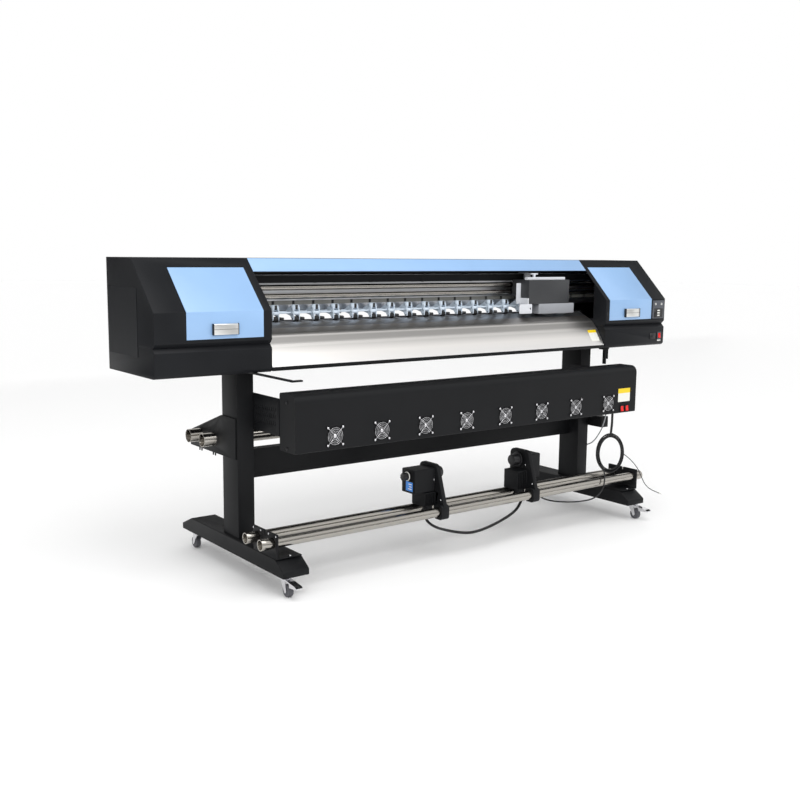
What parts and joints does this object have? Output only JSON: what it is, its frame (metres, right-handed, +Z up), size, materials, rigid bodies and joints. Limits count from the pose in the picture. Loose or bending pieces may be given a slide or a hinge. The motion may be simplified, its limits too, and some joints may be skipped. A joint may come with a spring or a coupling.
{
  "type": "roll-fed wide-format printer",
  "caption": "Long print head with end boxes, doors, carriage and pinch rollers on a wheeled stand, with a front dryer, rear supply tubes and a paper take-up.",
  "frame": {"origin": "on the floor, midway along and across the stand's footprint", "axes": "+X along the machine to the control panel end, -Y towards the operator, +Z up"},
  "size_m": [2.93, 0.969, 1.309],
  "materials": {
    "black_powder": "fine matt powder coat",
    "black_casing": "satin powder coat",
    "blue_panel": "smooth satin paint",
    "aluminium_plate": "brushed and anodised",
    "aluminium_frame": "natural anodised",
    "steel_tube": "polished stainless",
    "chrome": "bright plating",
    "carriage_grey": "fine grain",
    "head_grey": "fine grain",
    "pale_plastic": "moulded satin",
    "black_plastic": "moulded satin",
    "keypad_grey": "printed film",
    "red_switch": "glossy",
    "roller_rubber": "ground smooth",
    "caster_tyre": "moulded",
    "zinc_sheet": "zinc plated",
    "cable_black": "matt",
    "cable_grey": "soft",
    "white_plastic": "glossy"
  },
  "bodies": {
    "machine": {"feet": "black_powder", "columns": "black_powder", "crossbeam": "black_powder", "head_base": "black_powder", "left_lower_casing": "black_casing", "right_lower_casing": "black_casing", "left_upper_casing": "black_casing", "right_upper_casing": "black_casing", "top_cover": "black_casing", "cover_trim": "blue_panel", "guide_beam": "aluminium_frame", "guide_rails": "steel_tube", "platen": "aluminium_frame", "front_apron": "aluminium_plate", "capping_station": "black_plastic", "drive_motors_and_belt": "black_plastic", "dryer_housing": "black_powder", "dryer_brackets": "black_powder", "fan_housings": "black_plastic", "fan_rotors": "black_plastic", "supply_brackets": "black_powder", "takeup_brackets": "black_powder", "takeup_rails": "steel_tube", "control_panel": "keypad_grey", "caster_plates": "chrome", "support_arms": "black_powder", "takeup_link_cable": "cable_black", "motor_cable": "cable_black", "dryer_lead": "cable_black", "signal_cable": "cable_grey", "connector_wire": "cable_black", "cable_coil": "cable_black", "wire_connector": "white_plastic"},
    "left_door": {"left_door": "blue_panel", "left_door_handle": "chrome"},
    "right_door": {"right_door": "blue_panel", "right_door_handle": "chrome"},
    "carriage": {"carriage_frame": "aluminium_frame", "carriage_cover": "carriage_grey", "print_heads": "head_grey"},
    "pinch_lift": {"pinch_arms": "pale_plastic"},
    "pinch_rollers": {"pinch_wheels": "roller_rubber"},
    "feed_roller": {"feed_shaft": "steel_tube"},
    "power_switch": {"power_rocker": "red_switch"},
    "left_dryer_switch": {"left_dryer_rocker": "red_switch"},
    "right_dryer_switch": {"right_dryer_rocker": "red_switch"},
    "front_supply_roll": {"front_supply_tube": "steel_tube"},
    "back_supply_roll": {"back_supply_tube": "steel_tube"},
    "takeup_drive": {"takeup_drive_unit": "black_powder"},
    "drive_plug": {"drive_chuck": "black_plastic"},
    "takeup_idler": {"takeup_idler_unit": "black_powder"},
    "idler_plug": {"idler_chuck": "black_plastic"},
    "front_left_fork": {"front_left_caster_fork": "chrome"},
    "front_left_wheel": {"front_left_caster_wheel": "caster_tyre"},
    "back_left_fork": {"back_left_caster_fork": "chrome"},
    "back_left_wheel": {"back_left_caster_wheel": "caster_tyre"},
    "front_right_fork": {"front_right_caster_fork": "chrome"},
    "front_right_wheel": {"front_right_caster_wheel": "caster_tyre"},
    "back_right_fork": {"back_right_caster_fork": "chrome"},
    "back_right_wheel": {"back_right_caster_wheel": "caster_tyre"}
  },
  "joints": [
    {"name": "left_door_hinge", "type": "hinge", "parent": "machine", "child": "left_door", "pos_m": [-1.17, -0.012, 1.273], "axis": [-1, 0, 0], "range_deg": [0, 95]},
    {"name": "right_door_hinge", "type": "hinge", "parent": "machine", "child": "right_door", "pos_m": [1.19, -0.012, 1.273], "axis": [-1, 0, 0], "range_deg": [0, 95]},
    {"name": "carriage_travel", "type": "slide", "parent": "machine", "child": "carriage", "axis": [1, 0, 0], "range_m": [-1.68, 0.54]},
    {"name": "pinch_lift", "type": "hinge", "parent": "machine", "child": "pinch_lift", "pos_m": [0, 0.077, 1.08], "axis": [-1, 0, 0], "range_deg": [0, 6]},
    {"name": "feed_turn", "type": "hinge", "parent": "machine", "child": "feed_roller", "pos_m": [0, 0.027, 1.0306], "axis": [1, 0, 0], "continuous": true},
    {"name": "pinch_turn", "type": "hinge", "parent": "pinch_lift", "child": "pinch_rollers", "pos_m": [0, 0.027, 1.0539], "axis": [1, 0, 0], "continuous": true},
    {"name": "power_rock", "type": "hinge", "parent": "machine", "child": "power_switch", "pos_m": [1.428, -0.1795, 0.91], "axis": [1, 0, 0], "range_deg": [0, 16]},
    {"name": "left_dryer_rock", "type": "hinge", "parent": "machine", "child": "left_dryer_switch", "pos_m": [0.935, -0.3625, 0.574], "axis": [1, 0, 0], "range_deg": [0, 16]},
    {"name": "right_dryer_rock", "type": "hinge", "parent": "machine", "child": "right_dryer_switch", "pos_m": [0.972, -0.3625, 0.574], "axis": [1, 0, 0], "range_deg": [0, 16]},
    {"name": "front_supply_turn", "type": "hinge", "parent": "machine", "child": "front_supply_roll", "pos_m": [0, 0.174, 0.541], "axis": [1, 0, 0], "continuous": true},
    {"name": "back_supply_turn", "type": "hinge", "parent": "machine", "child": "back_supply_roll", "pos_m": [0, 0.304, 0.541], "axis": [1, 0, 0], "continuous": true},
    {"name": "drive_unit_slide", "type": "slide", "parent": "machine", "child": "takeup_drive", "axis": [1, 0, 0], "range_m": [-0.06, 0.2]},
    {"name": "drive_plug_turn", "type": "hinge", "parent": "takeup_drive", "child": "drive_plug", "pos_m": [-0.2, -0.25, 0.366], "axis": [1, 0, 0], "continuous": true},
    {"name": "idler_unit_slide", "type": "slide", "parent": "machine", "child": "takeup_idler", "axis": [1, 0, 0], "range_m": [-0.2, 0.06]},
    {"name": "idler_plug_turn", "type": "hinge", "parent": "takeup_idler", "child": "idler_plug", "pos_m": [0.338, -0.25, 0.366], "axis": [1, 0, 0], "continuous": true},
    {"name": "front_left_swivel", "type": "hinge", "parent": "machine", "child": "front_left_fork", "pos_m": [-1.03, -0.379, 0.07], "axis": [0, 0, 1], "continuous": true},
    {"name": "front_left_roll", "type": "hinge", "parent": "front_left_fork", "child": "front_left_wheel", "pos_m": [-1.03, -0.399, 0.026], "axis": [1, 0, 0], "continuous": true},
    {"name": "back_left_swivel", "type": "hinge", "parent": "machine", "child": "back_left_fork", "pos_m": [-1.03, 0.396, 0.07], "axis": [0, 0, 1], "continuous": true},
    {"name": "back_left_roll", "type": "hinge", "parent": "back_left_fork", "child": "back_left_wheel", "pos_m": [-1.03, 0.416, 0.026], "axis": [1, 0, 0], "continuous": true},
    {"name": "front_right_swivel", "type": "hinge", "parent": "machine", "child": "front_right_fork", "pos_m": [1.03, -0.379, 0.07], "axis": [0, 0, 1], "continuous": true},
    {"name": "front_right_roll", "type": "hinge", "parent": "front_right_fork", "child": "front_right_wheel", "pos_m": [1.03, -0.399, 0.026], "axis": [1, 0, 0], "continuous": true},
    {"name": "back_right_swivel", "type": "hinge", "parent": "machine", "child": "back_right_fork", "pos_m": [1.03, 0.396, 0.07], "axis": [0, 0, 1], "continuous": true},
    {"name": "back_right_roll", "type": "hinge", "parent": "back_right_fork", "child": "back_right_wheel", "pos_m": [1.03, 0.416, 0.026], "axis": [1, 0, 0], "continuous": true}
  ],
  "couplings": [
    {"joint": "pinch_turn", "follows": "feed_turn", "ratio": -1.0909}
  ]
}
